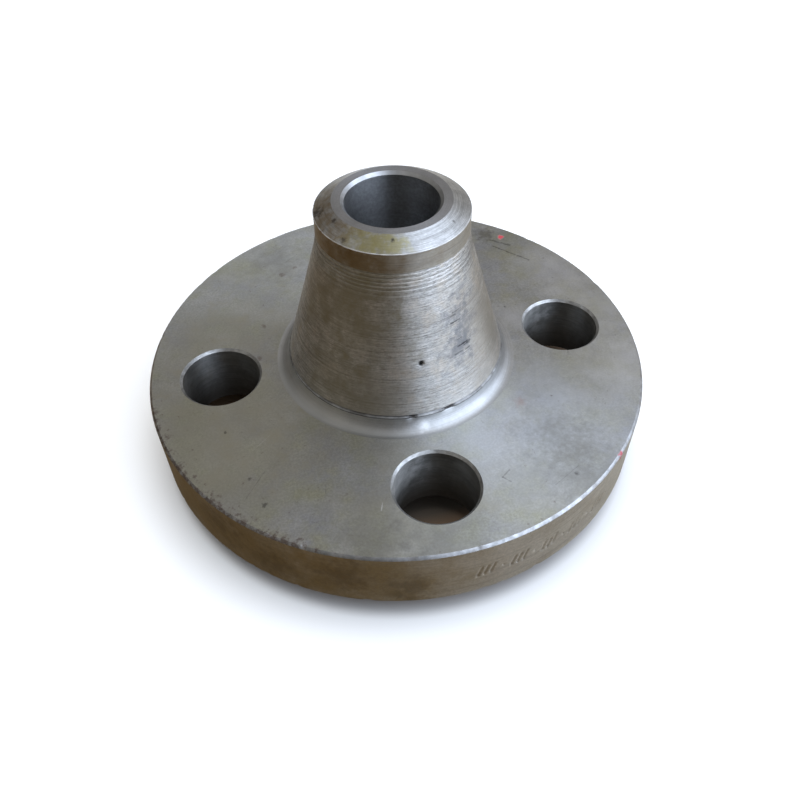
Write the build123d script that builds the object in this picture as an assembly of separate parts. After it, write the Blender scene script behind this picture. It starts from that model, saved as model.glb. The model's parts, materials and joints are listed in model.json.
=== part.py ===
from build123d import *

import os
from math import radians, tan

# Weld neck flange, one forging machined all over. All lengths are in millimetres.
# The origin is the centre of the raised gasket face, and +Z runs up the bore to the weld end.

# Ring
RING_DIAMETER = 124.0
RING_THICKNESS = 17.5
RING_EDGE_BREAK = 0.6          # 45 degree break on both outer edges of the ring

# Raised gasket face
FACE_DIAMETER = 50.8
FACE_HEIGHT = 6.4
FACE_EDGE_BREAK = 0.4

# Tapered hub
HUB_BASE_DIAMETER = 53.6       # where the taper ends, at the top of the base fillet
HUB_HEIGHT = 44.5              # from the ring's hub side to the weld end
BASE_FILLET_RADIUS = 3.0
NECK_START_HEIGHT = 35.3       # height of the taper's top above the ring's hub side
NECK_BLEND_RADIUS = 12.0       # between the taper and the straight neck

# Weld end
NECK_DIAMETER = 34.5
LAND_DIAMETER = 26.4           # outer edge of the flat land that meets the pipe
BEVEL_ANGLE = 30.0             # from the plane of the land
BORE_DIAMETER = 21.0
BORE_MOUTH_BREAK = 0.7         # at the weld end
BORE_FOOT_BREAK = 0.5          # at the gasket face

# Bolting
BOLT_CIRCLE_DIAMETER = 88.9
BOLT_HOLE_DIAMETER = 19.1
BOLT_HOLE_COUNT = 4
BOLT_HOLE_BREAK = 0.6          # 45 degree break at both ends of each hole

# Heights and radii that follow from the sizes above
RING_RADIUS = RING_DIAMETER / 2
FACE_RADIUS = FACE_DIAMETER / 2
HUB_BASE_RADIUS = HUB_BASE_DIAMETER / 2
NECK_RADIUS = NECK_DIAMETER / 2
LAND_RADIUS = LAND_DIAMETER / 2
BORE_RADIUS = BORE_DIAMETER / 2
RING_TOP = FACE_HEIGHT + RING_THICKNESS
TOP = RING_TOP + HUB_HEIGHT
NECK_START = RING_TOP + NECK_START_HEIGHT
BEVEL_HEIGHT = (NECK_RADIUS - LAND_RADIUS) * tan(radians(BEVEL_ANGLE))


def outer_lines():
    """The outside of the half section, from the gasket face up to the weld end."""
    fillet_foot = (HUB_BASE_RADIUS + BASE_FILLET_RADIUS, RING_TOP)
    fillet_head = (HUB_BASE_RADIUS, RING_TOP + BASE_FILLET_RADIUS)
    ring = Polyline(
        (BORE_RADIUS + BORE_FOOT_BREAK, 0),
        (FACE_RADIUS - FACE_EDGE_BREAK, 0),
        (FACE_RADIUS, FACE_EDGE_BREAK),
        (FACE_RADIUS, FACE_HEIGHT),
        (RING_RADIUS - RING_EDGE_BREAK, FACE_HEIGHT),
        (RING_RADIUS, FACE_HEIGHT + RING_EDGE_BREAK),
        (RING_RADIUS, RING_TOP - RING_EDGE_BREAK),
        (RING_RADIUS - RING_EDGE_BREAK, RING_TOP),
        fillet_foot,
    )
    base_fillet = RadiusArc(fillet_foot, fillet_head, BASE_FILLET_RADIUS)
    hub = Polyline(
        fillet_head,
        (NECK_RADIUS, NECK_START),
        (NECK_RADIUS, TOP - BEVEL_HEIGHT),
        (LAND_RADIUS, TOP),
        (BORE_RADIUS + BORE_MOUTH_BREAK, TOP),
    )
    return ring + base_fillet + hub


def bore_line():
    """The bore wall with the small breaks at its two mouths."""
    return Polyline(
        (BORE_RADIUS + BORE_MOUTH_BREAK, TOP),
        (BORE_RADIUS, TOP - BORE_MOUTH_BREAK),
        (BORE_RADIUS, BORE_FOOT_BREAK),
        (BORE_RADIUS + BORE_FOOT_BREAK, 0),
    )


def turned_blank():
    """The flange as it leaves the lathe, before its bolt holes are drilled."""
    half_section = Plane.XZ * make_face(outer_lines() + bore_line())
    blank = revolve(half_section, Axis.Z)
    neck_edge = blank.edges().sort_by(lambda edge: abs(edge.center().Z - NECK_START))[0]
    return fillet(neck_edge, NECK_BLEND_RADIUS)


def bolt_drill():
    """The metal that one bolt hole takes away, with a 45 degree break at each end."""
    radius = BOLT_HOLE_DIAMETER / 2
    shank = Cylinder(radius, RING_THICKNESS, align=(Align.CENTER, Align.CENTER, Align.MIN))
    lower_break = Cone(
        radius + BOLT_HOLE_BREAK, radius, BOLT_HOLE_BREAK,
        align=(Align.CENTER, Align.CENTER, Align.MIN),
    )
    upper_break = Cone(
        radius, radius + BOLT_HOLE_BREAK, BOLT_HOLE_BREAK,
        align=(Align.CENTER, Align.CENTER, Align.MAX),
    )
    return shank + lower_break + Pos(0, 0, RING_THICKNESS) * upper_break


def flange():
    """The finished flange."""
    drills = PolarLocations(BOLT_CIRCLE_DIAMETER / 2, BOLT_HOLE_COUNT)
    holes = [Pos(0, 0, FACE_HEIGHT) * place * bolt_drill() for place in drills]
    return turned_blank() - holes


os.makedirs("parts", exist_ok=True)
export_step(flange(), "parts/flange.step")
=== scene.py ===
import json
import random
from math import cos, hypot, pi, radians, sin, tan

import bpy
import numpy as np
from mathutils import Matrix, Vector, geometry


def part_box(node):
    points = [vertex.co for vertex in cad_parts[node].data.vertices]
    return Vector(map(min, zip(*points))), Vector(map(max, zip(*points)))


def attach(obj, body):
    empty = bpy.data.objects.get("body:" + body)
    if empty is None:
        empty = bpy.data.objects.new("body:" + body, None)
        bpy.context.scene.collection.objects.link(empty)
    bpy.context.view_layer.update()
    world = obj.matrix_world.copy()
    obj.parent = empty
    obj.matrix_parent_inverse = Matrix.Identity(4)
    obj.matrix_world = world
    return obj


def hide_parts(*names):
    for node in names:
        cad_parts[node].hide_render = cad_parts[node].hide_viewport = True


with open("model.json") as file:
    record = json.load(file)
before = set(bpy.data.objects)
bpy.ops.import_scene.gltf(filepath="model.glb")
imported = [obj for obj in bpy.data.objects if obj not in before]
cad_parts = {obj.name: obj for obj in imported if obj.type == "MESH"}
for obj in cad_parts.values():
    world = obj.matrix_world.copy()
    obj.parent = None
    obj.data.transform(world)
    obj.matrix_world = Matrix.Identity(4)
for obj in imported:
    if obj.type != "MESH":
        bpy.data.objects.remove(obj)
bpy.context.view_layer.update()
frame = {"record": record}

# ---------------------------------------------------------------------------------------------
# Sizes, in metres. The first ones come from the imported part, the rest repeat its CAD dimensions.
# The bolt holes lie on the X and Y axes, and +Z is the way from the gasket face to the weld end.
# ---------------------------------------------------------------------------------------------
MM = 0.001
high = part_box("flange")[1]
mounts = {mount["name"]: mount for mount in frame["record"]["mounts"]}

RING_R = high.x
TOP = high.z
RING_TOP = mounts["nut_face"]["pos_m"][2]
BORE_R = mounts["bore"]["dims"]["r_mm"] * MM
PITCH_R = mounts["bolt_circle"]["dims"]["pcd_mm"] / 2 * MM
HOLE_R = mounts["bolt_circle"]["dims"]["hole_r_mm"] * MM
HOLE_COUNT = mounts["bolt_circle"]["dims"]["count"]

EDGE_BREAK = 0.6 * MM
RING_FOOT = 6.4 * MM              # the ring's underside, as high as the raised face stands out
FACE_R = 25.4 * MM
FACE_BREAK = 0.4 * MM
HUB_BASE_R = 26.8 * MM
BASE_FILLET = 3.0 * MM
FILLET_R = HUB_BASE_R + BASE_FILLET
FILLET_TOP = RING_TOP + BASE_FILLET
TAPER_TOP = RING_TOP + 35.3 * MM
NECK_R = 17.25 * MM
LAND_R = 13.2 * MM
BEVEL_FOOT = TOP - (NECK_R - LAND_R) * tan(radians(30))
MOUTH_BREAK = 0.7 * MM
FOOT_BREAK = 0.5 * MM
TAPER_SLOPE = (NECK_R - HUB_BASE_R) / (TAPER_TOP - FILLET_TOP)
NECK_BLEND = 3.4 * MM             # length over which the taper eases into the straight neck
FILLET_REACH = 0.4 * MM           # how much further out than the CAD's the fillet starts

TURN = 2 * pi
HUB_COLUMNS = 264                 # faces round the hub and the bore
HOLE_COLUMNS = 84                 # faces round each bolt hole
WELD_GAP = 0.002 * MM             # neighbouring zones are welded where they meet this closely
SHARP_ANGLE = radians(24)         # edges sharper than this aren't shaded smooth
rng = random.Random(11)


# ---------------------------------------------------------------------------------------------
# The skin: every turned surface is a grid of rings, and the two drilled flats are triangulated
# ---------------------------------------------------------------------------------------------
class Skin:
    """The flange's surface, collected zone by zone."""

    def __init__(self):
        self.points, self.faces, self.zones = [], [], []

    def add(self, points, faces, zone):
        """Adds points and the faces that use them, in one zone."""
        start = len(self.points)
        self.points.extend(points)
        self.faces.extend([tuple(start + i for i in face) for face in faces])
        self.zones.extend([zone] * len(faces))

    def add_turned(self, profile, angles, zone, centre=(0.0, 0.0)):
        """Sweeps a profile of (radius, height) points about an upright axis."""
        count = len(angles)
        points = [
            (centre[0] + r * cos(a), centre[1] + r * sin(a), z) for r, z in profile for a in angles
        ]
        faces = []
        for low_row in range(0, (len(profile) - 1) * count, count):
            for i in range(count):
                j = (i + 1) % count
                faces.append((low_row + i, low_row + j, low_row + count + j, low_row + count + i))
        self.add(points, faces, zone)


def even_angles(count):
    """Angles evenly round a whole turn."""
    return [TURN * i / count for i in range(count)]


def line(start, end, count):
    """count + 1 points from start to end."""
    return [
        (start[0] + (end[0] - start[0]) * i / count, start[1] + (end[1] - start[1]) * i / count)
        for i in range(count + 1)
    ]


# Rim -----------------------------------------------------------------------------------------
WORN_FROM, WORN_TO = radians(-176), radians(-116)    # where the rim's edge is knocked about
MARKS_FROM, MARKS_TO = radians(-88), radians(-50)    # the row of punch marks on the rim
MARKS_LOW, MARKS_HIGH = RING_FOOT + 5.0 * MM, RING_FOOT + 11.0 * MM


def rim_angles():
    """Angles round the rim, closer together at the worn edge and the punch marks."""
    worn = np.arange(WORN_FROM, WORN_TO, radians(0.4))
    left = np.arange(WORN_TO, MARKS_FROM, radians(0.9))
    marked = np.arange(MARKS_FROM, MARKS_TO, radians(0.24))
    rest = np.linspace(MARKS_TO, WORN_FROM + TURN, 240, endpoint=False)
    return [float(a) for a in [*worn, *left, *marked, *rest]]


def rim_side_profile():
    """From the ring's underside up to the foot of its upper edge break."""
    corner = 0.25 * MM
    heights = [
        *np.linspace(RING_FOOT + EDGE_BREAK, MARKS_LOW, 5, endpoint=False),
        *np.linspace(MARKS_LOW, MARKS_HIGH, 20, endpoint=False),
        *np.linspace(MARKS_HIGH, RING_TOP - EDGE_BREAK, 7),
    ]
    return [
        (RING_R - EDGE_BREAK, RING_FOOT),
        (RING_R - corner, RING_FOOT + EDGE_BREAK - corner),
        *[(RING_R, float(z)) for z in heights],
    ]


def rim_edge_profile():
    """The upper edge break, slightly rounded, ending a little way onto the hub side."""
    corner = 0.22 * MM
    return [
        (RING_R, RING_TOP - EDGE_BREAK),
        (RING_R - corner, RING_TOP - EDGE_BREAK + corner * 1.4),
        (RING_R - EDGE_BREAK, RING_TOP),
    ]


# Hub -----------------------------------------------------------------------------------------
RIDGE_TOP = FILLET_TOP + 0.95 * MM
GROOVED_FROM, GROOVED_TO = TAPER_TOP - 3.0 * MM, TAPER_TOP + 2.3 * MM
GROOVE_PITCH = 1.0 * MM


def taper_radius(z):
    """The clean taper, eased into the straight neck."""
    slope_radius = HUB_BASE_R + TAPER_SLOPE * (z - FILLET_TOP)
    over = (TAPER_TOP - z) / NECK_BLEND
    if over > 1:
        return slope_radius
    if over < -1:
        return NECK_R
    return NECK_R - TAPER_SLOPE * NECK_BLEND * (over + 1) ** 2 / 4


def tool_rings():
    """Turned rings left on the taper: (height, half width, depth) of each."""
    rings = []
    z = GROOVED_TO - 0.4 * MM
    while z > GROOVED_FROM:
        rings.append((z, 0.26 * MM, rng.uniform(0.16, 0.26) * MM))
        rings.append((z - 0.48 * MM, 0.14 * MM, rng.uniform(0.01, 0.04) * MM))
        z -= GROOVE_PITCH * rng.uniform(0.85, 1.1)
    while z > RIDGE_TOP + 0.8 * MM:
        rings.append((z, rng.uniform(0.3, 0.6) * MM, rng.uniform(0.02, 0.07) * MM))
        z -= rng.uniform(0.6, 1.4) * MM
    return rings


def ring_depth(z, rings):
    """How deep the tool rings cut at a height."""
    return sum(depth * max(0.0, 1 - abs(z - at) / half) for at, half, depth in rings)


def taper_profile():
    """The taper from the ridge at its base to the clean neck."""
    rings = tool_rings()
    heights = [
        *np.linspace(RIDGE_TOP, GROOVED_FROM, 78, endpoint=False),
        *np.linspace(GROOVED_FROM, GROOVED_TO, 52),
    ]
    profile = [(taper_radius(z) - ring_depth(z, rings), float(z)) for z in heights]
    return [*profile[:-1], (taper_radius(GROOVED_TO), GROOVED_TO)]


def neck_profile():
    """The clean neck, from the last tool ring up to the burr at the bevel's foot."""
    heights = np.linspace(GROOVED_TO, lip_profile()[0][1], 8)
    return [(taper_radius(z), float(z)) for z in heights]


def fillet_profile():
    """The polished fillet, a curve that leaves the ring flat and runs into the taper's slope."""
    start = (FILLET_R + FILLET_REACH, RING_TOP)
    bend = (HUB_BASE_R - TAPER_SLOPE * BASE_FILLET, RING_TOP)
    end = (HUB_BASE_R, FILLET_TOP)
    steps = 12
    curve = []
    for i in range(steps + 1):
        t = i / steps
        shares = ((1 - t) ** 2, 2 * t * (1 - t), t ** 2)
        curve.append(tuple(sum(k * p[n] for k, p in zip(shares, (start, bend, end))) for n in (0, 1)))
    return curve


def ridge_profile():
    """The thin burr and the undercut line where the fillet's tool stopped, under the taper."""
    return [
        (HUB_BASE_R, FILLET_TOP),
        (HUB_BASE_R + 0.06 * MM, FILLET_TOP + 0.20 * MM),
        (HUB_BASE_R + 0.02 * MM, FILLET_TOP + 0.38 * MM),
        (HUB_BASE_R - 0.30 * MM, FILLET_TOP + 0.55 * MM),
        (HUB_BASE_R - 0.40 * MM, FILLET_TOP + 0.70 * MM),
        (taper_radius(RIDGE_TOP), RIDGE_TOP),
    ]


def lip_profile():
    """The thin burr round the foot of the weld bevel."""
    return [
        (NECK_R, BEVEL_FOOT - 0.10 * MM),
        (NECK_R + 0.05 * MM, BEVEL_FOOT - 0.02 * MM),
        (NECK_R + 0.02 * MM, BEVEL_FOOT + 0.07 * MM),
        (NECK_R - 0.14 * MM, BEVEL_FOOT + 0.14 * MM),
    ]


def bevel_profile():
    """The weld bevel, up to the land at the very end."""
    return line(lip_profile()[-1], (LAND_R, TOP), 9)


# Gasket face ---------------------------------------------------------------------------------
SERRATION_PITCH = 0.8 * MM
SERRATION_DEPTH = 0.10 * MM


def gasket_profile():
    """The raised face with its concentric serrations, then its edge up to the ring's underside."""
    start = BORE_R + FOOT_BREAK
    end = FACE_R - FACE_BREAK
    count = int((end - start) / SERRATION_PITCH)
    face = [(start, 0.0)]
    for i in range(1, count):
        middle = start + SERRATION_PITCH * i
        face += [(middle - SERRATION_PITCH / 2, 0.0), (middle, SERRATION_DEPTH)]
    return [*face, (end, 0.0), (FACE_R, FACE_BREAK), *line((FACE_R, 1.2 * MM), (FACE_R, RING_FOOT), 3)]


# Bolt holes and the two drilled flats ----------------------------------------------------------
def hole_centres():
    """The bolt holes' axes as (x, y), the first one on +X."""
    turns = even_angles(HOLE_COUNT)
    return [(PITCH_R * cos(a), PITCH_R * sin(a)) for a in turns]


def hole_profile():
    """One drilled hole from its upper break to its lower one, scored by the drill."""
    wall_top = RING_TOP - EDGE_BREAK
    wall_foot = RING_FOOT + EDGE_BREAK
    scored = [
        (HOLE_R + rng.uniform(-0.03, 0.03) * MM, float(z))
        for z in np.linspace(wall_top, wall_foot, 18)[1:-1]
    ]
    return [(HOLE_R, wall_top), *scored, (HOLE_R, wall_foot), (HOLE_R + EDGE_BREAK, RING_FOOT)]


def countersink_profile():
    """The break at a bolt hole's upper edge."""
    corner = 0.12 * MM
    return [
        (HOLE_R + EDGE_BREAK, RING_TOP),
        (HOLE_R + corner, RING_TOP - EDGE_BREAK + corner),
        (HOLE_R, RING_TOP - EDGE_BREAK),
    ]


def circle(radius, angles, centre=(0.0, 0.0)):
    """Flat points on a circle."""
    return [Vector((centre[0] + radius * cos(a), centre[1] + radius * sin(a))) for a in angles]


def inner_points(start, end, clear):
    """Points that fill a drilled flat between two radii, all further than clear from each hole."""
    points = []
    for row, radius in enumerate(np.arange(start, end, 2.6 * MM)):
        for spot in circle(radius, [a + 0.02 * row for a in even_angles(120)]):
            if min(hypot(spot.x - x, spot.y - y) for x, y in hole_centres()) > clear:
                points.append(spot)
    return points


def drilled_flat(inner_r, outer_angles):
    """Points and triangles of a flat annulus with the bolt holes cut out, facing up."""
    outer_r = RING_R - EDGE_BREAK
    hole_r = HOLE_R + EDGE_BREAK
    loops = [circle(outer_r, outer_angles), circle(inner_r, even_angles(HUB_COLUMNS))]
    loops += [circle(hole_r, even_angles(HOLE_COLUMNS), centre) for centre in hole_centres()]
    points, edges = [], []
    for loop in loops:
        start = len(points)
        points += loop
        edges += [(start + i, start + (i + 1) % len(loop)) for i in range(len(loop))]
    for inset, count in ((0.5, 480), (1.1, 360), (2.2, 240), (4.0, 150)):
        points += circle(outer_r - inset * MM, even_angles(count))
    for outset, count in ((0.6, 72), (1.6, 48)):
        for centre in hole_centres():
            points += circle(hole_r + outset * MM, even_angles(count), centre)
    points += inner_points(inner_r + 1.5 * MM, outer_r - 5.5 * MM, hole_r + 2.5 * MM)
    scaled = [point / MM for point in points]
    flat, _, faces, *_ = geometry.delaunay_2d_cdt(scaled, edges, [], 0, 1e-5, False)
    flat = [point * MM for point in flat]
    kept = []
    for face in faces:
        middle = sum((flat[i] for i in face), Vector((0, 0))) / len(face)
        outside = [hypot(middle.x - x, middle.y - y) > hole_r * 0.9995 for x, y in hole_centres()]
        if middle.length > inner_r * 0.99995 and all(outside):
            kept.append(tuple(face))
    return flat, kept


def add_flat(skin, z, inner_r, zone, facing_up):
    """Adds a drilled flat at a height."""
    flat, faces = drilled_flat(inner_r, rim_angles())
    if not facing_up:
        faces = [face[::-1] for face in faces]
    skin.add([(point.x, point.y, z) for point in flat], faces, zone)


def flange_skin():
    """The whole surface, from the rim over the top and down the bore to the underside."""
    skin = Skin()
    hub = even_angles(HUB_COLUMNS)
    skin.add_turned(rim_side_profile(), rim_angles(), "rim")
    skin.add_turned(rim_edge_profile(), rim_angles(), "edge")
    fillet = fillet_profile()
    add_flat(skin, RING_TOP, fillet[0][0], "face", True)
    skin.add_turned(fillet, hub, "fillet")
    skin.add_turned(ridge_profile(), hub, "ridge")
    skin.add_turned(taper_profile(), hub, "taper")
    skin.add_turned(neck_profile(), hub, "neck")
    skin.add_turned(lip_profile(), hub, "lip")
    skin.add_turned(bevel_profile(), hub, "bevel")
    skin.add_turned(line((LAND_R, TOP), (BORE_R + MOUTH_BREAK, TOP), 3), hub, "land")
    mouth = [(BORE_R + MOUTH_BREAK, TOP), (BORE_R, TOP - MOUTH_BREAK)]
    skin.add_turned(mouth, hub, "mouth")
    bore = line((BORE_R, TOP - MOUTH_BREAK), (BORE_R, FOOT_BREAK), 9)
    skin.add_turned([*bore, (BORE_R + FOOT_BREAK, 0)], hub, "bore")
    skin.add_turned(gasket_profile(), hub, "gasket")
    add_flat(skin, RING_FOOT, FACE_R, "underside", False)
    for centre in hole_centres():
        skin.add_turned(countersink_profile(), even_angles(HOLE_COLUMNS), "countersink", centre)
        skin.add_turned(hole_profile(), even_angles(HOLE_COLUMNS), "hole", centre)
    return skin


# ---------------------------------------------------------------------------------------------
# Knocks, pits and punch marks, pressed into the finished surface
# ---------------------------------------------------------------------------------------------
def polar(radius, degrees_round, z):
    """A place at a radius and height, so many degrees round from +X."""
    a = radians(degrees_round)
    return radius * cos(a), radius * sin(a), z


def way(azimuth, elevation):
    """The unit vector of a direction in degrees, the azimuth measured from +X towards +Y."""
    a, e = radians(azimuth), radians(elevation)
    return cos(a) * cos(e), sin(a) * cos(e), sin(e)


def taper_place(z_mm, degrees_round):
    """A place on the taper, its height in mm."""
    z = z_mm * MM
    return polar(taper_radius(z), degrees_round, z)


PIT = taper_place(40.3, -86.7)        # the small hole in the hub's front
MARK_WIDTH = 0.45 * MM
MARK_DEPTH = 0.26 * MM


def knocks():
    """(place, radius, depth) of each dent."""
    dents = [(PIT, 0.8 * MM, 0.5 * MM), (taper_place(36.6, -80.0), 0.6 * MM, 0.12 * MM)]
    edge = RING_R - EDGE_BREAK / 2
    top = RING_TOP - 0.2 * MM
    for _ in range(26):
        at = polar(edge - rng.uniform(0, 0.5) * MM, rng.uniform(-174, -118), top)
        dents.append((at, rng.uniform(0.6, 1.2) * MM, rng.uniform(0.05, 0.15) * MM))
    for _ in range(34):
        at = polar(edge, rng.uniform(-118, 186), top)
        dents.append((at, rng.uniform(0.8, 1.4) * MM, rng.uniform(0.03, 0.14) * MM))
    for _ in range(34):
        at = polar(edge, rng.uniform(0, 360), RING_FOOT + 0.2 * MM)
        dents.append((at, rng.uniform(0.8, 1.6) * MM, rng.uniform(0.05, 0.25) * MM))
    for _ in range(10):
        at = polar(HUB_BASE_R, rng.uniform(0, 360), FILLET_TOP + 0.3 * MM)
        dents.append((at, rng.uniform(0.5, 1.1) * MM, rng.uniform(0.05, 0.2) * MM))
    for degrees_round in (-93.5, -75.5, -73.8, -72.0):
        at = polar(HUB_BASE_R, degrees_round, FILLET_TOP + 0.3 * MM)
        dents.append((at, 0.9 * MM, 0.35 * MM))
    for _ in range(12):
        at = polar(NECK_R, rng.uniform(-200, -110), BEVEL_FOOT)
        dents.append((at, rng.uniform(0.5, 0.9) * MM, rng.uniform(0.05, 0.15) * MM))
    return dents


def punch_marks():
    """The punched row: threes of parallel slanted strokes with a dot between, as (from, to)
    places along and up the rim."""
    strokes = []
    along = (MARKS_FROM + radians(3)) * RING_R
    middle = (MARKS_LOW + MARKS_HIGH) / 2
    tall, lean, pitch = 1.5 * MM, 0.45 * MM, 1.5 * MM
    while along < (MARKS_TO - radians(4)) * RING_R:
        for _ in range(3):
            at = middle + rng.uniform(-0.3, 0.3) * MM
            strokes.append(((along - lean, at - tall), (along + lean, at + tall)))
            along += pitch
        along += 1.0 * MM
        dot = (along, middle + rng.uniform(-0.3, 0.3) * MM)
        strokes.append((dot, dot))
        along += 2.5 * MM
    return strokes


def press_knocks(points, normals):
    """Moves points inwards under each dent."""
    for place, radius, depth in knocks():
        away = np.linalg.norm(points - np.array(place), axis=1) / radius
        near = away < 1
        points[near] -= normals[near] * (depth * (1 - away[near] ** 2) ** 2)[:, None]


def press_marks(points):
    """Presses the punched row into the rim."""
    angles = np.arctan2(points[:, 1], points[:, 0])
    radii = np.hypot(points[:, 0], points[:, 1])
    height = points[:, 2]
    near = (angles > MARKS_FROM) & (angles < MARKS_TO) & (radii > RING_R - 0.01 * MM)
    near &= (height > MARKS_LOW) & (height < MARKS_HIGH)
    spots = np.stack([angles[near] * RING_R, height[near]], axis=1)
    sunk = np.zeros(len(spots))
    for start, end in punch_marks():
        start, end = np.array(start), np.array(end)
        run = end - start
        share = np.clip((spots - start) @ run / max(run @ run, 1e-12), 0, 1)
        away = np.linalg.norm(spots - start - share[:, None] * run, axis=1) / MARK_WIDTH
        sunk = np.maximum(sunk, MARK_DEPTH * np.clip(1 - away ** 2, 0, 1))
    shrink = 1 - sunk / RING_R
    points[near, 0] *= shrink
    points[near, 1] *= shrink


def build_flange(materials):
    """The detailed flange, as one welded object."""
    skin = flange_skin()
    names = list(dict.fromkeys(skin.zones))
    data = bpy.data.meshes.new("weld_neck_flange")
    data.from_pydata(skin.points, [], skin.faces)
    data.polygons.foreach_set("material_index", [names.index(zone) for zone in skin.zones])
    piece = bpy.data.objects.new("weld_neck_flange", data)
    bpy.context.scene.collection.objects.link(piece)
    for name in names:
        data.materials.append(materials[name])

    weld = piece.modifiers.new("weld", "WELD")
    weld.merge_threshold = WELD_GAP
    welded = bpy.data.meshes.new_from_object(
        piece.evaluated_get(bpy.context.evaluated_depsgraph_get())
    )
    piece.modifiers.clear()
    piece.data = welded

    points = np.zeros(len(welded.vertices) * 3)
    normals = np.zeros(len(welded.vertices) * 3)
    welded.vertices.foreach_get("co", points)
    welded.vertices.foreach_get("normal", normals)
    points, normals = points.reshape(-1, 3), normals.reshape(-1, 3)
    press_knocks(points, normals)
    press_marks(points)
    welded.vertices.foreach_set("co", points.ravel())
    welded.shade_smooth()
    welded.set_sharp_from_angle(angle=SHARP_ANGLE)
    return piece


# ---------------------------------------------------------------------------------------------
# Materials
# ---------------------------------------------------------------------------------------------
class Shader:
    """A shorthand for building one node tree, of a material or of the world."""

    def __init__(self, owner):
        owner.use_nodes = True
        self.owner = owner
        self.tree = owner.node_tree
        self.tree.nodes.clear()

    def node(self, kind, inputs=(), **settings):
        """Adds a node. inputs maps a socket's name or number to a value or to another socket."""
        made = self.tree.nodes.new("ShaderNode" + kind)
        for name, value in settings.items():
            setattr(made, name, value)
        for key, value in dict(inputs).items():
            if isinstance(value, bpy.types.NodeSocket):
                self.tree.links.new(value, made.inputs[key])
            else:
                made.inputs[key].default_value = value
        return made

    def maths(self, operation, *values):
        """The result of a sum on numbers or sockets."""
        return self.node("Math", dict(enumerate(values)), operation=operation).outputs[0]

    def noise(self, vector, scale, detail=4.0, roughness=0.6):
        """A soft noise from 0 to 1 that mostly stays near 0.5."""
        values = {"Vector": vector, "Scale": scale, "Detail": detail, "Roughness": roughness}
        return self.node("TexNoise", values).outputs["Fac"]

    def ramp(self, factor, *stops):
        """A ramp of (place, grey) stops, as a number."""
        made = self.node("ValToRGB", {"Fac": factor})
        elements = made.color_ramp.elements
        while len(elements) < len(stops):
            elements.new(1.0)
        for element, (place, grey) in zip(elements, stops):
            element.position = place
            element.color = (grey, grey, grey, 1)
        return made.outputs["Color"]

    def output(self, kind, shader):
        """Joins a shader to a new output node."""
        self.tree.links.new(shader.outputs[0], self.node(kind).inputs[0])

    def blend(self, factor, first, second):
        """The colour first, turning into second with factor."""
        made = self.node("Mix", {"Factor": factor}, data_type="RGBA")
        for socket, value in ((made.inputs[6], first), (made.inputs[7], second)):
            if isinstance(value, bpy.types.NodeSocket):
                self.tree.links.new(value, socket)
            else:
                socket.default_value = (*value, 1)
        return made.outputs[2]


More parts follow.
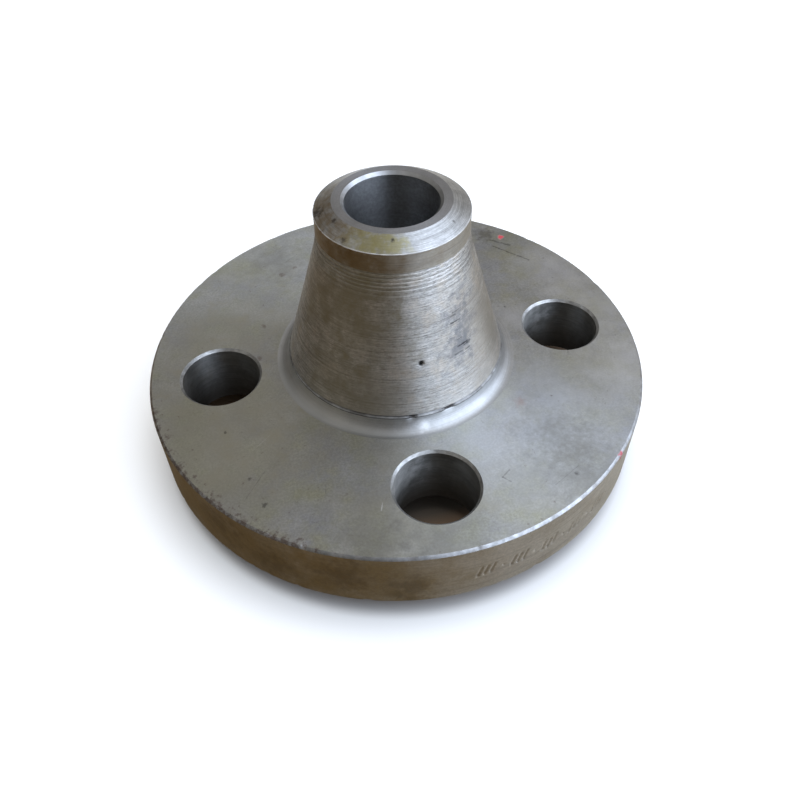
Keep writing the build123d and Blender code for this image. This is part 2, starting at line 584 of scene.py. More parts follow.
class Steel(Shader):
    """Machined steel, laid down layer by layer: tone, tool lines, stains and spots."""

    def __init__(self, name, light, dark, cloud=12.0, sharp=0.14):
        """The bare metal drifts from light to dark in clouds of a size in mm."""
        super().__init__(bpy.data.materials.new(name))
        self.place = self.node("TexCoord").outputs["Object"]
        self.x, self.y, self.z = self.node("SeparateXYZ", {0: self.place}).outputs
        squares = [self.maths("MULTIPLY", v, v) for v in (self.x, self.y)]
        self.radius = self.maths("SQRT", self.maths("ADD", *squares))
        # span runs across the tool lines, on the flats, the slopes and the upright walls alike
        self.span = self.maths("SUBTRACT", self.radius, self.maths("MULTIPLY", self.z, 1.2))
        self.drift = self.noise(self.place, 1000 / cloud, 5.0, 0.6)
        mask = self.ramp(self.drift, (0.5 - sharp, 0), (0.5 + sharp, 1))
        self.tone = self.blend(mask, light, dark)
        self.rough = self.drift
        self.metal = 1.0
        self.height = 0.0

    def turned(self, pitch, length):
        """Noise that is pitch mm wide across the cut. It is length mm long round the axis at a
        radius of 25 mm."""
        turn = [self.maths("DIVIDE", v, self.radius) for v in (self.x, self.y)]
        cells = 25 / length
        where = self.node("CombineXYZ", {
            0: self.maths("MULTIPLY", self.span, 1000 / pitch),
            1: self.maths("MULTIPLY", turn[0], cells),
            2: self.maths("MULTIPLY", turn[1], cells),
        }).outputs[0]
        return self.noise(where, 1.0, 3.0, 0.65)

    def drilled(self, pitch, length):
        """Noise that is pitch mm high and length mm long across, for an upright drilled wall."""
        where = self.node("CombineXYZ", {
            0: self.maths("MULTIPLY", self.x, 1000 / length),
            1: self.maths("MULTIPLY", self.y, 1000 / length),
            2: self.maths("MULTIPLY", self.z, 1000 / pitch),
        }).outputs[0]
        return self.noise(where, 1.0, 3.0, 0.65)

    def cut(self, lines, depth, shade, colour=(0.10, 0.095, 0.09)):
        """Tool lines: depth mm of relief, and colour in their lows by a share, shade."""
        self.height = self.maths("MULTIPLY_ADD", lines, depth * MM, self.height)
        lows = self.ramp(lines, (0.34, 1), (0.52, 0))
        self.tone = self.blend(self.maths("MULTIPLY", lows, shade), self.tone, colour)
        self.rough = self.maths("MULTIPLY_ADD", lines, 0.4, self.rough)

    def grain(self, size, shade, colour=(0.12, 0.11, 0.10)):
        """Fine specks of a size in mm."""
        specks = self.noise(self.place, 1000 / size, 2.0, 0.5)
        mask = self.maths("MULTIPLY", self.ramp(specks, (0.40, 1), (0.62, 0)), shade)
        self.tone = self.blend(mask, self.tone, colour)
        self.height = self.maths("MULTIPLY_ADD", specks, 0.004 * MM, self.height)

    def stain(self, size, share, colour, amount):
        """Clouds of a colour over about a share of the surface, of a size in mm."""
        clouds = self.noise(self.place, 1000 / size, 5.0, 0.6)
        middle = 0.5 + (0.5 - share) * 0.35
        mask = self.ramp(clouds, (middle - 0.10, 0), (middle + 0.14, amount))
        self.tone = self.blend(mask, self.tone, colour)

    def spot(self, place, size, colour, amount, ragged=0.5, grain=3.0, soft=0.16, matt=False):
        """One patch at a place, size mm across. A noise of grain mm makes its edge ragged, and the
        colour fades out over a width that soft sets."""
        away = self.node("VectorMath", {0: self.place, 1: place}, operation="DISTANCE")
        near = self.maths("DIVIDE", away.outputs["Value"], size / 2 * MM)
        edge = self.noise(self.place, 1000 / grain, 3.0, 0.6)
        reach = self.maths("MULTIPLY_ADD", self.maths("SUBTRACT", edge, 0.5), 4 * ragged, near)
        mask = self.ramp(self.maths("MULTIPLY", reach, 0.5), (0.46 - soft, amount), (0.46 + soft, 0))
        self.lay(mask, colour, matt)

    def stroke(self, start, end, width, colour, amount):
        """A scratch, width mm wide, from one place to another."""
        start, end = Vector(start), Vector(end)
        run = end - start
        offset = self.node("VectorMath", {0: self.place, 1: start}, operation="SUBTRACT").outputs[0]
        dot = self.node("VectorMath", {0: offset, 1: run / run.length_squared},
                        operation="DOT_PRODUCT").outputs["Value"]
        share = self.node("Clamp", {0: dot}).outputs[0]
        along = self.node("VectorMath", {0: run, "Scale": share}, operation="SCALE").outputs[0]
        away = self.node("VectorMath", {0: offset, 1: along}, operation="DISTANCE").outputs["Value"]
        broken = self.noise(self.place, 1100.0, 3.0, 0.6)
        reach = self.maths("ADD", self.maths("DIVIDE", away, width * MM), broken)
        self.lay(self.ramp(reach, (0.55, amount), (0.95, 0)), colour)

    def spots(self, place, rows, colour, amount, **edge):
        """Spots of one kind. Each row holds what place takes and then a size in mm."""
        for *where, size in rows:
            self.spot(place(*where), size, colour, amount, **edge)

    def outer_part(self, way_out, least, full, inner, outer):
        """A mask that grows from inner to outer, in mm, on the side that faces way_out. It grows
        from least to full there, both cosines of the angle to way_out."""
        far = self.node("MapRange", {"Value": self.radius, "From Min": inner * MM,
                                     "From Max": outer * MM}).outputs[0]
        dot = self.node("VectorMath", {0: self.place, 1: way_out}, operation="DOT_PRODUCT")
        side = self.ramp(self.maths("DIVIDE", dot.outputs["Value"], self.radius), (least, 0), (full, 1))
        return self.maths("MULTIPLY", far, side)

    def worn_edge(self, way_out, inner, outer, colour, amount):
        """Dark nicks that thicken from inner to outer, in mm, round the side that faces way_out."""
        close = self.outer_part(way_out, 0.80, 0.90, inner, outer)
        specks = self.noise(self.place, 1000 / 1.3, 4.0, 0.7)
        reach = self.maths("MULTIPLY_ADD", close, 0.20, specks)
        self.lay(self.ramp(reach, (0.64, 0), (0.76, amount)), colour)

    def lay(self, mask, colour, matt=False):
        """Lays a colour over the metal through a mask. A matt one isn't metallic there."""
        self.tone = self.blend(mask, self.tone, colour)
        if matt:
            self.metal = self.maths("MULTIPLY", self.metal, self.maths("SUBTRACT", 1.0, mask))

    def finish(self, rough, anisotropic=0.75, upright=False):
        """Joins the layers into the metal's shader. rough is its least and its most roughness.
        The tool lines run round the part's axis, or in an upright hole round the hole's own."""
        spread = self.node("MapRange", {
            "Value": self.rough, "From Min": 0.35, "From Max": 1.05,
            "To Min": rough[0], "To Max": rough[1],
        }).outputs[0]
        bump = self.node("Bump", {"Height": self.height, "Distance": 1.0, "Strength": 1.0})
        if upright:
            facing = self.node("NewGeometry").outputs["Normal"]
            tangent = self.node("VectorMath", {0: (0, 0, 1), 1: facing}, operation="CROSS_PRODUCT")
        else:
            tangent = self.node("Tangent", direction_type="RADIAL", axis="Z")
        shader = self.node("BsdfPrincipled", {
            "Base Color": self.tone, "Roughness": spread, "Metallic": self.metal,
            "Normal": bump.outputs[0], "Tangent": tangent.outputs[0],
            "Anisotropic": anisotropic, "Anisotropic Rotation": 0.25,
        })
        self.output("OutputMaterial", shader)
        return self.owner


CLEAN = (0.50, 0.50, 0.49)
DULL = (0.42, 0.415, 0.40)
BROWN = (0.24, 0.18, 0.10)
OLIVE = (0.42, 0.38, 0.19)
SOOT = (0.05, 0.045, 0.045)
RUST = (0.15, 0.10, 0.08)
RED = (0.44, 0.035, 0.055)
SOFT = 0.42                           # how softly most stains fade out
WORN_SIDE = way(-147, 0)              # towards the middle of the rim's knocked part


def flat_place(radius, degrees_round):
    """A place on the ring's hub side, its radius in mm."""
    return polar(radius * MM, degrees_round, RING_TOP)


def level_ring(radius, z):
    """Gives the places at one radius and height, by their degrees round."""
    return lambda degrees_round: polar(radius, degrees_round, z)


def rim_steel():
    """The rim's side: brownish, with darker brown patches at the left that are partly stain and partly
    painted shade, and a speck of red paint.
    """
    s = Steel("rim_steel", (0.57, 0.53, 0.46), (0.46, 0.415, 0.34), 14)
    s.cut(s.turned(0.5, 50), 0.010, 0.25)
    s.cut(s.turned(0.9, 5), 0.008, 0.15)
    s.stain(12, 0.25, BROWN, 0.4)
    # Brown patches round the left: partly brown stain, partly painted shade on the rim's dark side.
    brown_stains_and_painted_shade = ((-166, 28), (-150, 28), (-134, 28), (-118, 28), (-104, 28))
    at = level_ring(RING_R, 15 * MM)
    s.spots(at, brown_stains_and_painted_shade, (0.31, 0.235, 0.12), 0.75, ragged=0.6, grain=6.0, soft=0.4)
    # Darker brown spots on the left: painted shade.
    for degrees_round, z in ((-140, 17), (-127, 13), (-112, 16), (-99, 12)):
        place = polar(RING_R, degrees_round, z * MM)
        s.spot(place, 9, (0.15, 0.11, 0.06), 0.5, ragged=1.0, grain=2.5, soft=0.3)
    s.grain(0.6, 0.18)
    s.spot(polar(RING_R, -46.4, RING_TOP - 0.8 * MM), 1.5, RED, 0.9, ragged=0.9, grain=0.8, matt=True)
    return s.finish((0.38, 0.56), 0.5)


def edge_steel():
    """The rim's upper edge, mottled and worn at the left."""
    s = Steel("edge_steel", (0.52, 0.52, 0.53), (0.30, 0.30, 0.30), 1.8)
    s.stain(3, 0.25, (0.28, 0.24, 0.22), 0.6)
    s.worn_edge(WORN_SIDE, 61.0, 61.5, RUST, 0.7)
    s.spot(flat_place(61.8, -46.4), 1.5, RED, 0.9, ragged=0.8, grain=0.8, matt=True)
    return s.finish((0.34, 0.50), 0.0)


def face_stains(s):
    """The faint stains, dark smudges, painted highlights and painted shade on the ring's hub side, each
    a radius, degrees and size.
    """
    # Brown clouds, mostly on the left: a brownish tone together with painted shade on that side and at
    # the front.
    brown_clouds_and_shade = ((44, 180, 36), (55, -165, 24), (52, -150, 24), (38, -156, 22), (57, -142, 18),
                    (50, 168, 20), (35, 152, 16), (47, -20, 18), (34, -103, 12), (51, -108, 13),
                    (58, -97, 20), (56, 128, 34), (58, -70, 24))
    grey_smudges = ((41, -33, 14), (44, -46, 14), (50, -50, 16), (53, -62, 15), (59, 46, 14),
                    (39, -22, 10), (36, 60, 12))
    # Painted highlight: bluish light patches where the window's reflection falls on the front right.
    painted_blue_highlight = ((35, -72, 18), (35, -50, 20), (36, -30, 18), (47, -38, 22), (57, -40, 24),
                  (48, -62, 18))
    # Dark patches, most near the front edge: painted shade.
    painted_shade_patches = ((59, -90, 15), (59, -106, 12), (58, -55, 12), (51, 122, 13))
    broken_smudges = ((46, -51, 12), (52.5, -49, 12))
    # Pale patches on the right: painted light.
    painted_light_patches = ((59, 5, 20), (58, -17, 18), (57, 25, 18), (34, 10, 8))
    s.spots(flat_place, brown_clouds_and_shade, (0.42, 0.395, 0.31), 0.38, ragged=1.2, grain=6.0, soft=SOFT)
    s.spots(flat_place, grey_smudges, (0.27, 0.265, 0.25), 0.26, ragged=1.2, grain=2.2, soft=SOFT)
    s.spots(flat_place, painted_blue_highlight, (0.67, 0.70, 0.76), 0.26, ragged=0.35, grain=8.0, soft=0.45)
    s.spots(flat_place, painted_shade_patches, (0.28, 0.275, 0.255), 0.55, ragged=0.9, grain=2.5, soft=SOFT)
    s.spots(flat_place, broken_smudges, (0.26, 0.255, 0.23), 0.27, ragged=1.3, grain=1.3, soft=SOFT)
    s.spots(flat_place, painted_light_patches, (0.76, 0.76, 0.77), 0.5, ragged=0.5, grain=5.0, soft=SOFT)
    s.spot(flat_place(56, 50), 5, (0.16, 0.15, 0.14), 0.6, ragged=1.1, grain=1.6, soft=0.3)
    s.spot(flat_place(35.4, -44), 2.6, (0.42, 0.28, 0.25), 0.4, ragged=0.8, grain=1.5, soft=0.3)


def face_marks(s):
    """The nicks, scratches and paint specks on the ring's hub side."""
    nicks = ((48.3, -157, 0.7), (52.3, -140, 0.8), (55.8, -132, 1.0), (57, -57, 0.8), (33.8, 17, 0.8))
    s.spots(flat_place, nicks, SOOT, 0.55, ragged=1.0, grain=0.8, soft=0.25)
    s.worn_edge(WORN_SIDE, 58.4, 61.8, (0.19, 0.15, 0.14), 0.7)
    for _ in range(6):
        at = flat_place(rng.uniform(34, 58), rng.uniform(60, 175))
        s.spot(at, rng.uniform(0.6, 1.4), RUST, 0.5, ragged=1.0, grain=0.9, soft=0.3)
    for _ in range(9):
        start = flat_place(rng.uniform(33, 57), rng.uniform(0, 360))
        end = [v + rng.uniform(-7, 7) * MM for v in start[:2]]
        shade = rng.choice((0.12, 0.75))
        s.stroke(start, (*end, RING_TOP), 0.28, (shade, shade, shade), 0.3)
    s.stroke(flat_place(52.3, 45), flat_place(53.3, 32), 0.8, SOOT, 0.5)
    s.stroke(flat_place(54.6, 47), flat_place(55.5, 41), 1.4, SOOT, 0.5)
    s.stroke(flat_place(49.6, -71), flat_place(47.6, -72), 0.5, SOOT, 0.35)
    s.stroke(flat_place(47.6, -72), flat_place(46.8, -69), 0.5, SOOT, 0.35)
    s.stroke(flat_place(48.0, -105.0), flat_place(50.0, -105.2), 0.4, (0.8, 0.8, 0.8), 0.7)
    s.spot(flat_place(57.4, 45.2), 1.9, RED, 0.95, ragged=0.6, grain=1.6, matt=True)


def face_steel():
    """The ring's hub side, drifting between greys, bluish and olive."""
    s = Steel("face_steel", (0.61, 0.617, 0.627), (0.49, 0.492, 0.482), 17, 0.2)
    s.cut(s.turned(0.4, 60), 0.004, 0.08)
    s.cut(s.turned(2.4, 30), 0.006, 0.06)
    s.stain(16, 0.35, (0.42, 0.40, 0.34), 0.6)
    s.stain(7, 0.28, (0.35, 0.35, 0.34), 0.35)
    s.stain(3, 0.25, (0.38, 0.37, 0.34), 0.35)
    s.stain(9, 0.3, (0.40, 0.41, 0.47), 0.7)
    s.stain(12, 0.3, (0.42, 0.42, 0.29), 0.75)
    s.stain(6, 0.35, (0.54, 0.52, 0.40), 0.4)
    s.grain(0.5, 0.20)
    s.grain(0.28, 0.10)
    face_stains(s)
    face_marks(s)
    return s.finish((0.36, 0.48), 0.7)


def fillet_steel():
    """The polished fillet, with light and shade painted into its colour: painted light on the left,
    painted shade on the outer part there, painted shade on the right, and a painted highlight at the
    front."""
    s = Steel("fillet_steel", (0.57, 0.57, 0.58), (0.48, 0.48, 0.475), 6)
    s.cut(s.turned(0.35, 40), 0.008, 0.25)
    s.cut(s.turned(1.1, 70), 0.006, 0.12)
    s.stain(7, 0.2, (0.44, 0.42, 0.38), 0.5)
    s.grain(0.5, 0.10)
    at = level_ring(28 * MM, RING_TOP)
    # Painted light on the left of the fillet.
    painted_light_left = ((-178, 18), (-156, 18), (-134, 18))
    s.spots(at, painted_light_left, (0.68, 0.67, 0.65), 0.5, ragged=0.4, grain=4.0, soft=SOFT)
    # Painted shade on the fillet's outer part at the left.
    left = s.outer_part(way(-140, 0), 0.55, 0.80, 27.6, 28.8)
    s.lay(s.maths("MULTIPLY", left, 0.7), (0.33, 0.33, 0.32))
    # Painted shade on the right of the fillet.
    s.spot(at(-50), 26, (0.44, 0.44, 0.44), 0.5, ragged=0.4, grain=4.0, soft=SOFT)
    # Painted highlight: a near-white spot at the front of the fillet.
    painted_glint = polar(27.4 * MM, -88, RING_TOP + 1.2 * MM)
    s.spot(painted_glint, 2.4, (0.95, 0.95, 0.96), 0.6, ragged=0.5, grain=1.5, soft=SOFT)
    return s.finish((0.28, 0.40), 0.6)


def ridge_steel():
    """The burr and the undercut line at the taper's base, with soot in two of its dents."""
    s = Steel("ridge_steel", (0.42, 0.42, 0.42), (0.17, 0.165, 0.16), 4)
    s.cut(s.turned(0.3, 12), 0.012, 0.4)
    at = level_ring(HUB_BASE_R, FILLET_TOP + 0.6 * MM)
    s.spots(at, ((-73.8, 3.4), (-93.5, 2.0)), SOOT, 0.9, ragged=0.8, grain=0.8, soft=0.25)
    return s.finish((0.34, 0.5), 0.5)


def taper_steel():
    """The hub's taper: clear tool lines, brown stains with painted shade on the left, dark smudges on
    the right, and a pit painted black as painted shade.
    """
    s = Steel("taper_steel", (0.77, 0.755, 0.73), (0.62, 0.60, 0.57), 7)
    s.cut(s.turned(0.8, 90), 0.018, 0.35)
    s.cut(s.turned(0.32, 40), 0.014, 0.44)
    s.cut(s.turned(0.20, 1.7), 0.022, 0.68)
    s.stain(10, 0.2, (0.40, 0.34, 0.27), 0.4)
    s.stain(4, 0.3, (0.58, 0.49, 0.38), 0.5)
    s.grain(0.5, 0.15)
    # Brown stains, most on the left, which also carry painted shade on that side.
    brown_stains_and_painted_shade = ((57, -128, 14), (50, -150, 15), (60, -112, 9), (38, -30, 13), (30, -118, 14),
                    (34, -140, 16), (47, -120, 14))
    dull_patches = ((44, -42, 16), (31, -42, 22), (31, -106, 10))
    smudges = ((48.5, -60, 5.2), (44.5, -55, 5.85), (39.5, -64, 6.5), (52, -52, 4.55), (42, -60, 4.55))
    s.spots(taper_place, brown_stains_and_painted_shade, (0.33, 0.29, 0.21), 0.65, ragged=1.0, grain=4.0, soft=SOFT)
    s.spots(taper_place, dull_patches, (0.42, 0.38, 0.33), 0.6, ragged=0.8, grain=3.0, soft=SOFT)
    s.spots(taper_place, smudges, (0.21, 0.21, 0.22), 0.48, ragged=1.5, grain=2.0, soft=0.4)
    for _ in range(12):
        z, degrees_round = rng.uniform(38, 52), rng.uniform(-66, -52)
        ahead = rng.uniform(3, 7)
        s.stroke(taper_place(z, degrees_round), taper_place(z, degrees_round + ahead), 0.6, SOOT, 0.6)
    # Painted shade: the pit is coloured near black inside.
    s.spot(PIT, 1.3, (0.01, 0.01, 0.01), 1.0, ragged=0.3, grain=0.6)
    return s.finish((0.34, 0.52), 0.8)


def neck_steel():
    """The straight neck, brown in places, with brown patches on the left that are partly painted shade.
    """
    s = Steel("neck_steel", (0.56, 0.53, 0.48), (0.45, 0.41, 0.35), 7)
    s.cut(s.turned(0.5, 30), 0.006, 0.25)
    s.cut(s.turned(0.3, 4), 0.008, 0.2)
    s.stain(8, 0.3, (0.33, 0.26, 0.17), 0.5)
    at = level_ring(NECK_R, 63 * MM)
    # Brown patches on the left: partly brown stain, partly painted shade.
    brown_stains_and_painted_shade = ((-145, 11), (-122, 11), (-165, 11))
    s.spots(at, brown_stains_and_painted_shade, (0.24, 0.16, 0.07), 0.65, ragged=0.8, grain=3.0, soft=0.35)
    s.grain(0.5, 0.12)
    return s.finish((0.34, 0.50), 0.7)


def lip_steel():
    """The bright burr at the bevel's foot."""
    s = Steel("lip_steel", (0.85, 0.85, 0.85), (0.55, 0.54, 0.52), 3)
    return s.finish((0.42, 0.55), 0.0)


def bevel_steel():
    """The weld bevel: tool lines, olive stains, brown stains with painted shade on the left, dark pits
    and a painted highlight on its back.
    """
    s = Steel("bevel_steel", (0.69, 0.69, 0.69), (0.58, 0.58, 0.58), 6)
    s.cut(s.turned(0.55, 40), 0.014, 0.34)
    s.cut(s.turned(0.35, 5), 0.012, 0.34)
    s.cut(s.turned(0.24, 18), 0.010, 0.30)
    s.grain(0.7, 0.12)
    olive_stains = ((-101, 6), (-110, 6), (-121, 6), (-133, 6))
    # Brown stains on the left, with painted shade there.
    brown_stains_and_painted_shade = ((-150, 7), (-168, 7), (175, 7), (160, 7))
    # Painted highlight: near-white patches on the bevel's back.
    painted_light_back = ((50, 17), (95, 17))
    at = level_ring(15.4 * MM, 67.3 * MM)
    s.spots(at, olive_stains, OLIVE, 0.6, ragged=1.0, grain=2.0, soft=0.3)
    s.spots(at, brown_stains_and_painted_shade, (0.30, 0.23, 0.15), 0.6, ragged=1.0, grain=2.0, soft=0.35)
    s.spots(at, painted_light_back, (0.96, 0.96, 0.95), 0.9, ragged=0.5, grain=3.0, soft=0.4)
    s.spot(polar(14.4 * MM, -101, 67.7 * MM), 0.8, SOOT, 0.8, ragged=0.6, grain=0.6, soft=0.25)
    s.spot(polar(16.2 * MM, -140, 66.8 * MM), 1.1, SOOT, 0.6, ragged=0.8, grain=0.6, soft=0.25)
    s.spot(polar(14.2 * MM, -160, 67.8 * MM), 1.2, SOOT, 0.7, ragged=0.8, grain=0.6, soft=0.25)
    s.spot(polar(15.0 * MM, -42, 67.5 * MM), 0.8, SOOT, 0.6, ragged=0.6, grain=0.6, soft=0.25)
    s.spot(polar(16.6 * MM, 178, 66.5 * MM), 3.0, SOOT, 0.7, ragged=1.0, grain=1.0, soft=0.3)
    s.grain(0.4, 0.10)
    return s.finish((0.28, 0.42), 0.6)


def land_steel():
    """The flat land at the weld end."""
    s = Steel("land_steel", (0.44, 0.44, 0.46), (0.38, 0.38, 0.39), 4)
    s.cut(s.turned(0.3, 25), 0.003, 0.14)
    s.grain(0.4, 0.12)
    return s.finish((0.36, 0.46), 0.6)


def mouth_steel():
    """The break at the bore's mouth."""
    s = Steel("mouth_steel", (0.56, 0.56, 0.57), (0.42, 0.42, 0.42), 3)
    s.cut(s.turned(0.3, 25), 0.003, 0.1)
    return s.finish((0.34, 0.46), 0.3)


def countersink_steel():
    """The breaks at the bolt holes' upper edges, one of them nicked."""
    s = Steel("countersink_steel", (0.56, 0.56, 0.55), (0.36, 0.35, 0.34), 3)
    s.cut(s.drilled(0.3, 1.5), 0.012, 0.4)
    s.spot(polar(44.3 * MM, 10.6, RING_TOP), 1.6, SOOT, 0.7, ragged=0.8, grain=0.7, soft=0.25)
    return s.finish((0.36, 0.50), 0.4, upright=True)


def bore_steel():
    """The bore's wall."""
    s = Steel("bore_steel", (0.42, 0.43, 0.45), (0.30, 0.305, 0.315), 6)
    s.cut(s.drilled(0.5, 12), 0.008, 0.15)
    s.grain(0.6, 0.25)
    return s.finish((0.36, 0.48), 0.85, upright=True)


def hole_steel():
    """The bolt holes' walls, with light and shade painted into their colour: painted light at the upper
    left, by an amount for each hole, and painted shade growing darker towards the foot."""
    s = Steel("hole_steel", (0.30, 0.295, 0.285), (0.18, 0.175, 0.165), 5)
    s.cut(s.drilled(0.45, 10), 0.014, 0.35)
    s.cut(s.drilled(1.6, 14), 0.02, 0.15)
    s.stain(7, 0.25, BROWN, 0.25)
    left_x, left_y, _ = polar(HOLE_R, 168, 0)
    # Painted light: a pale patch on each hole's upper left wall.
    for (x, y), amount in zip(hole_centres(), (1.0, 0.4, 0.15, 1.0)):
        painted_light_at = (x + left_x, y + left_y, RING_TOP - 4 * MM)
        s.spot(painted_light_at, 14, (0.66, 0.65, 0.63), amount, ragged=0.5, grain=2.5, soft=SOFT)
    # Painted shade: the walls darken towards the foot.
    deep = s.node("MapRange", {"Value": s.z, "From Min": RING_TOP - 5 * MM,
                               "From Max": RING_FOOT + 2 * MM}).outputs[0]
    s.lay(s.maths("MULTIPLY", deep, 0.85), (0.06, 0.05, 0.04))
    return s.finish((0.38, 0.52), 0.85, upright=True)


def gasket_steel():
    """The raised gasket face and its edge."""
    s = Steel("gasket_steel", (0.52, 0.52, 0.52), (0.44, 0.44, 0.43), 10)
    s.cut(s.turned(0.25, 30), 0.003, 0.12)
    s.stain(9, 0.2, (0.40, 0.36, 0.28), 0.4)
    s.grain(0.5, 0.15)
    return s.finish((0.34, 0.46), 0.7)


def underside_steel():
    """The ring's underside."""
    s = Steel("underside_steel", CLEAN, DULL, 16)
    s.cut(s.turned(0.6, 50), 0.006, 0.15)
    s.stain(12, 0.3, (0.36, 0.30, 0.22), 0.5)
    s.grain(0.6, 0.2)
    return s.finish((0.38, 0.52), 0.7)


def flange_materials():
    """One material for each zone of the flange."""
    return {
        "rim": rim_steel(), "edge": edge_steel(), "face": face_steel(), "fillet": fillet_steel(),
        "ridge": ridge_steel(), "taper": taper_steel(), "neck": neck_steel(),
        "bevel": bevel_steel(), "land": land_steel(), "mouth": mouth_steel(),
        "bore": bore_steel(), "gasket": gasket_steel(), "underside": underside_steel(),
        "hole": hole_steel(), "countersink": countersink_steel(), "lip": lip_steel(),
    }


# ---------------------------------------------------------------------------------------------
# Floor, light and camera
# ---------------------------------------------------------------------------------------------
CAMERA_AZIMUTH = radians(-10.8)      # from the -Y axis, so the nearest bolt hole shows to the right
CAMERA_ELEVATION = radians(47.15)
CAMERA_DISTANCE = 211.4 * MM
CAMERA_LENS = 34.54                  # in mm, with a sensor 36 mm wide
AIM_HEIGHT = 4.6 * MM
SIDESTEP = 0.9 * MM                  # these three centre the flange as it is in the photo
SIDE_TURN = radians(-0.36)
ROLL = radians(-1.06)
FLOOR_SIZE = 6.0
BLACK = (0, 0, 0)
WINDOW = (1.80, 2.12, 2.62)          # the window's bluish light


def add_floor():
    """A pale floor. The camera sees it dark and brown under the flange, where it shows through the bolt
    holes: a brown patch darkened by painted shade, lighter from 35.5 mm out as painted light where
    light falls through the holes. The steel reflects it as a workbench, brown on the left and pale
    behind, and dark under the flange as painted shade."""
    size = FLOOR_SIZE
    corners = [(-size, -size, 0), (size, -size, 0), (size, size, 0), (-size, size, 0)]
    data = bpy.data.meshes.new("floor")
    data.from_pydata(corners, [], [(0, 1, 2, 3)])
    floor = bpy.data.objects.new("floor", data)
    bpy.context.scene.collection.objects.link(floor)
    s = Shader(bpy.data.materials.new("floor_paint"))
    place = s.node("TexCoord").outputs["Object"]
    away = s.node("VectorMath", {0: place, 1: (0, 0, 0)}, operation="DISTANCE").outputs["Value"]
    tenths = s.maths("MULTIPLY", away, 10)     # the distance from the flange's axis, in 100 mm
    clear = s.ramp(tenths, (0.56, 0), (0.63, 1))
    # Painted shade under the flange, lighter from 35.5 mm out as painted light through the holes.
    outwards = s.ramp(tenths, (0.355, 0), (0.39, 1))
    under = s.blend(outwards, (0.12, 0.10, 0.08), (0.20, 0.14, 0.095))
    pale = s.blend(clear, under, (0.9, 0.9, 0.9))
    side = s.node("VectorMath", {0: place, 1: way(35, 0)}, operation="DOT_PRODUCT").outputs["Value"]
    side = s.maths("MULTIPLY_ADD", side, 3, 0.5)
    bench = s.blend(s.ramp(side, (0.2, 0), (0.8, 1)), (0.16, 0.11, 0.06), (0.35, 0.32, 0.27))
    # Painted shade under the flange in reflections too.
    bench = s.blend(clear, (0.10, 0.09, 0.08), bench)
    seen = s.node("LightPath").outputs["Is Camera Ray"]
    paint = s.node("BsdfDiffuse", {"Color": s.blend(seen, bench, pale)})
    s.output("OutputMaterial", paint)
    data.materials.append(s.owner)


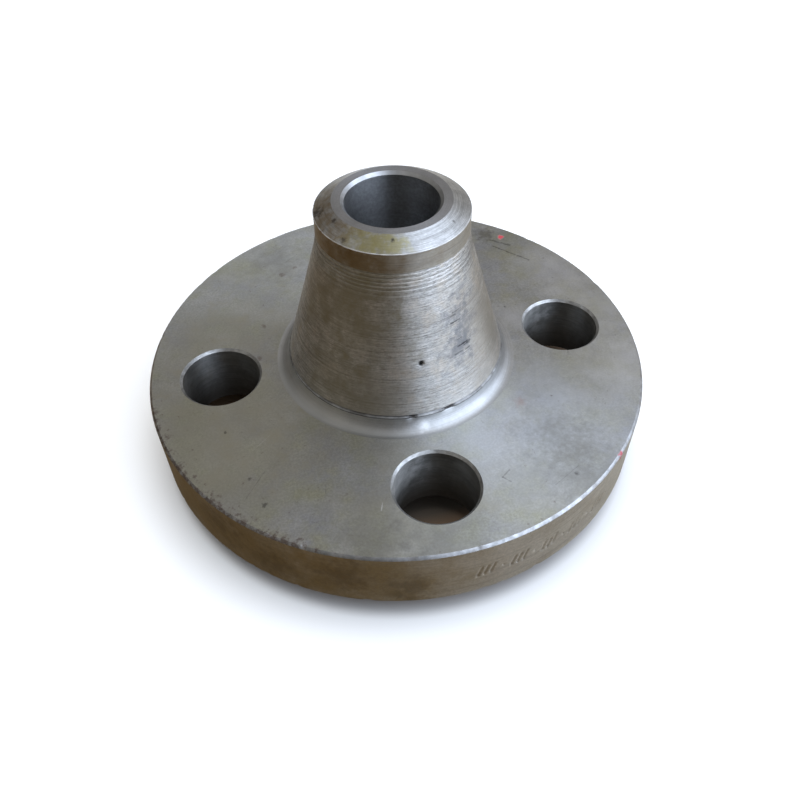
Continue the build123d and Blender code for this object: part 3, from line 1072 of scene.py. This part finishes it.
def light_world():
    """A dim room with a tall, soft, bluish window to the camera's right. The camera itself sees a
    white backdrop."""
    world = bpy.data.worlds.new("room")
    bpy.context.scene.world = world
    s = Shader(world)
    view = s.node("TexCoord").outputs["Generated"]

    def towards(azimuth, elevation):
        """1 in one direction in degrees, falling to 0 in the opposite one."""
        dot = s.node("VectorMath", {0: view, 1: way(azimuth, elevation)}, operation="DOT_PRODUCT")
        return s.maths("MULTIPLY_ADD", dot.outputs["Value"], 0.5, 0.5)

    walls = s.node("ValToRGB", {"Fac": towards(20, 10)})
    colours = ((0.15, (0.098, 0.09, 0.077)), (0.45, (0.165, 0.16, 0.15)), (0.75, (0.20, 0.185, 0.165)))
    walls.color_ramp.elements.new(1.0)
    for element, (place, colour) in zip(walls.color_ramp.elements, colours):
        element.position = place
        element.color = (*colour, 1)
    ceiling = s.blend(s.ramp(towards(25, 62), (0.58, 0), (1.0, 1)), BLACK, (0.33, 0.335, 0.34))
    high_left = s.blend(s.ramp(towards(-170, 42), (0.82, 0), (0.98, 1)), BLACK, (0.19, 0.19, 0.18))
    left_stops = ((0.42, 0), (0.465, 0.04), (0.5, 0.2), (0.56, 0.58), (0.66, 0.9), (0.76, 1))
    right_stops = ((0.3, 0), (0.48, 0.03), (0.58, 0.12), (0.68, 0.31), (0.76, 0.72), (0.85, 1))
    left_edge = s.ramp(towards(5, 0), *left_stops)
    right_edge = s.ramp(towards(-60, 25), *right_stops)
    window = s.blend(s.maths("MULTIPLY", left_edge, right_edge), BLACK, (1, 1, 1))
    tinted = s.node("VectorMath", {0: window, 1: WINDOW}, operation="MULTIPLY").outputs[0]
    total = walls.outputs[0]
    for light in (ceiling, high_left, tinted):
        total = s.node("VectorMath", {0: total, 1: light}, operation="ADD").outputs[0]
    seen = s.node("LightPath").outputs["Is Camera Ray"]
    behind = s.blend(seen, total, (0.95, 0.95, 0.95))
    s.output("OutputWorld", s.node("Background", {"Color": behind, "Strength": 1.0}))


def add_overhead():
    """A wide, soft lamp over the flange, which the steel doesn't mirror."""
    data = bpy.data.lights.new("overhead", "AREA")
    data.shape = "DISK"
    data.size = 1.6
    data.energy = 22.0
    lamp = bpy.data.objects.new("overhead", data)
    bpy.context.scene.collection.objects.link(lamp)
    lamp.location = (0, 0.2, 1.8)
    aim = Vector((0, 0, RING_TOP)) - lamp.location
    lamp.rotation_euler = aim.to_track_quat("-Z", "Y").to_euler()
    lamp.visible_glossy = False


def add_camera():
    """Looks down at the flange from the front, from the photo's place."""
    elevation = CAMERA_ELEVATION
    across = Vector((cos(CAMERA_AZIMUTH), sin(CAMERA_AZIMUTH), 0))
    azimuth = CAMERA_AZIMUTH + SIDE_TURN
    back = Vector((sin(azimuth) * cos(elevation), -cos(azimuth) * cos(elevation), sin(elevation)))
    data = bpy.data.cameras.new("camera")
    data.lens = CAMERA_LENS
    data.sensor_width = 36
    data.clip_start, data.clip_end = 0.01, 30
    camera = bpy.data.objects.new("camera", data)
    bpy.context.scene.collection.objects.link(camera)
    camera.location = Vector((0, 0, AIM_HEIGHT)) + across * SIDESTEP + back * CAMERA_DISTANCE
    upright = back.to_track_quat("Z", "Y").to_matrix()
    camera.rotation_euler = (upright @ Matrix.Rotation(ROLL, 3, "Z")).to_euler()
    bpy.context.scene.camera = camera


piece = build_flange(flange_materials())
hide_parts("flange")
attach(piece, "root")

add_floor()
light_world()
add_overhead()
add_camera()
bpy.context.scene.view_settings.view_transform = "Standard"
